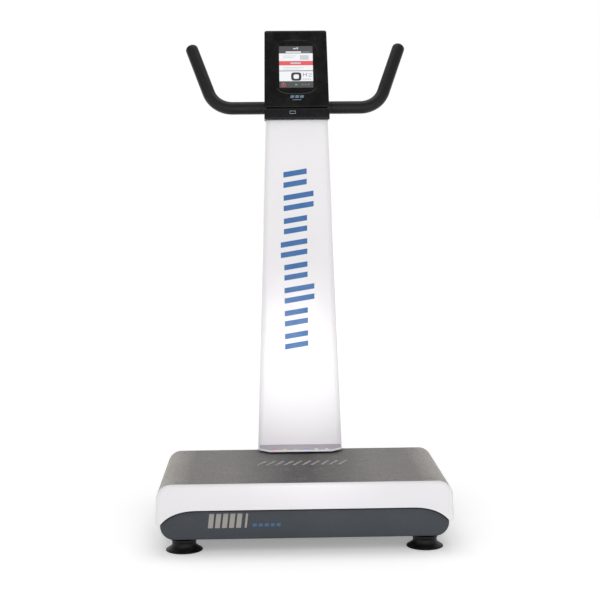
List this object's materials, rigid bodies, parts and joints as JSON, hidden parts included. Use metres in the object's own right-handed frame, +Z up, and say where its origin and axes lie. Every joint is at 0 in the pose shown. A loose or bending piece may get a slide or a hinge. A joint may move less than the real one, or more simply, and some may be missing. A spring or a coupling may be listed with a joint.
{
  "type": "vibration plate",
  "caption": "See-saw vibration plate: ribbed rubber platform rocked by a crank in a base tub, with a tapered column, leaning console and U-shaped handlebar.",
  "frame": {"origin": "on the floor under the middle of the machine's box", "axes": "+Z up, the console and the platform's front face toward -Y, +X to the right of a viewer in front"},
  "size_m": [0.7, 0.552, 1.2679],
  "materials": {
    "white_plastic": "satin white moulding",
    "slate_plastic": "slate grey textured moulding",
    "tread_rubber": "speckled grey ribbed rubber",
    "grip_rubber": "soft matt black rubber",
    "foot_rubber": "black rubber",
    "gloss_black": "piano black",
    "matt_black": "fine textured black",
    "screen_glass": "clear cover glass",
    "circuit_board": "green solder mask",
    "painted_steel": "dark grey powder coat",
    "bright_steel": "turned steel",
    "cast_iron": "grey casting",
    "bronze": "sintered bronze",
    "lens_plastic": "frosted lens"
  },
  "bodies": {
    "base": {"base_tub": "slate_plastic", "base_frame_plate": "painted_steel", "rear_deck_cover": "slate_plastic", "column_mast": "painted_steel", "column_front_cover": "white_plastic", "column_rear_cover": "white_plastic", "column_foot_lip": "white_plastic", "indicator_lens_strip": "lens_plastic", "console_fascia": "gloss_black", "display_glass": "screen_glass", "display_module": "matt_black", "console_circuit_board": "circuit_board", "console_back_shell": "matt_black", "console_lower_band": "gloss_black", "charging_port": "bright_steel", "console_cable": "matt_black", "handlebar_tube": "painted_steel", "grip_left": "grip_rubber", "grip_right": "grip_rubber", "grip_cap_left": "grip_rubber", "grip_cap_right": "grip_rubber", "handlebar_clamp": "cast_iron", "pivot_shaft": "bright_steel", "pivot_stand_front": "cast_iron", "pivot_stand_rear": "cast_iron", "crank_pillow_front": "cast_iron", "crank_pillow_rear": "cast_iron", "motor_body": "painted_steel", "motor_cradle": "painted_steel", "drive_belt": "foot_rubber", "controller_box": "matt_black", "inlet_module": "matt_black", "wheel_axle_left": "bright_steel", "wheel_axle_right": "bright_steel"},
    "platform": {"platform_skirt": "white_plastic", "tread_mat": "tread_rubber", "deck_plate": "painted_steel", "bearing_housing_front": "cast_iron", "bearing_housing_rear": "cast_iron", "pivot_bush_front": "bronze", "pivot_bush_rear": "bronze", "rod_clevis_front": "cast_iron", "rod_clevis_rear": "cast_iron", "rod_pin_front": "bright_steel", "rod_pin_rear": "bright_steel"},
    "crank": {"crankshaft": "bright_steel", "crank_pulley": "cast_iron"},
    "motor_rotor": {"motor_rotor_shaft": "bright_steel", "motor_pulley": "cast_iron"},
    "rod_front": {"connecting_rod_front": "bright_steel"},
    "rod_rear": {"connecting_rod_rear": "bright_steel"},
    "rocker": {"rocker_switch": "matt_black"},
    "fuse_tray": {"fuse_drawer": "matt_black"},
    "wheel_left": {"wheel_left": "foot_rubber"},
    "wheel_right": {"wheel_right": "foot_rubber"},
    "foot_front_left": {"foot_front_left": "foot_rubber"},
    "foot_front_right": {"foot_front_right": "foot_rubber"},
    "foot_rear_left": {"foot_rear_left": "foot_rubber"},
    "foot_rear_right": {"foot_rear_right": "foot_rubber"}
  },
  "joints": [
    {"name": "platform_rock", "type": "hinge", "parent": "base", "child": "platform", "pos_m": [0, 0, 0.085], "axis": [0, 1, 0], "range_deg": [-1.3, 1.3]},
    {"name": "crank_turn", "type": "hinge", "parent": "base", "child": "crank", "pos_m": [0.115, 0, 0.085], "axis": [0, 1, 0], "range_deg": [-90, 90]},
    {"name": "motor_spin", "type": "hinge", "parent": "base", "child": "motor_rotor", "pos_m": [-0.15, 0, 0.093], "axis": [0, 1, 0], "range_deg": [-180, 180]},
    {"name": "rod_front_swing", "type": "hinge", "parent": "platform", "child": "rod_front", "pos_m": [0.11575, -0.165, 0.13], "axis": [0, 1, 0], "range_deg": [-1.4, 1.4]},
    {"name": "rod_rear_swing", "type": "hinge", "parent": "platform", "child": "rod_rear", "pos_m": [0.11575, 0.075, 0.13], "axis": [0, 1, 0], "range_deg": [-1.4, 1.4]},
    {"name": "rocker_tip", "type": "hinge", "parent": "base", "child": "rocker", "pos_m": [0.17, 0.2638, 0.078], "axis": [1, 0, 0], "range_deg": [0, 14]},
    {"name": "fuse_drawer_slide", "type": "slide", "parent": "base", "child": "fuse_tray", "axis": [0, 1, 0], "range_m": [0, 0.014]},
    {"name": "wheel_left_roll", "type": "hinge", "parent": "base", "child": "wheel_left", "pos_m": [-0.24, 0.246, 0.046], "axis": [1, 0, 0], "continuous": true},
    {"name": "wheel_right_roll", "type": "hinge", "parent": "base", "child": "wheel_right", "pos_m": [0.24, 0.246, 0.046], "axis": [1, 0, 0], "continuous": true},
    {"name": "foot_front_left_screw", "type": "slide", "parent": "base", "child": "foot_front_left", "axis": [0, 0, -1], "range_m": [0, 0.008]},
    {"name": "foot_front_right_screw", "type": "slide", "parent": "base", "child": "foot_front_right", "axis": [0, 0, -1], "range_m": [0, 0.008]},
    {"name": "foot_rear_left_screw", "type": "slide", "parent": "base", "child": "foot_rear_left", "axis": [0, 0, -1], "range_m": [0, 0.008]},
    {"name": "foot_rear_right_screw", "type": "slide", "parent": "base", "child": "foot_rear_right", "axis": [0, 0, -1], "range_m": [0, 0.008]}
  ],
  "couplings": [
    {"joint": "crank_turn", "follows": "platform_rock", "ratio": 69},
    {"joint": "motor_spin", "follows": "platform_rock", "ratio": 138},
    {"joint": "rod_front_swing", "follows": "platform_rock", "ratio": -1},
    {"joint": "rod_rear_swing", "follows": "platform_rock", "ratio": -1}
  ]
}
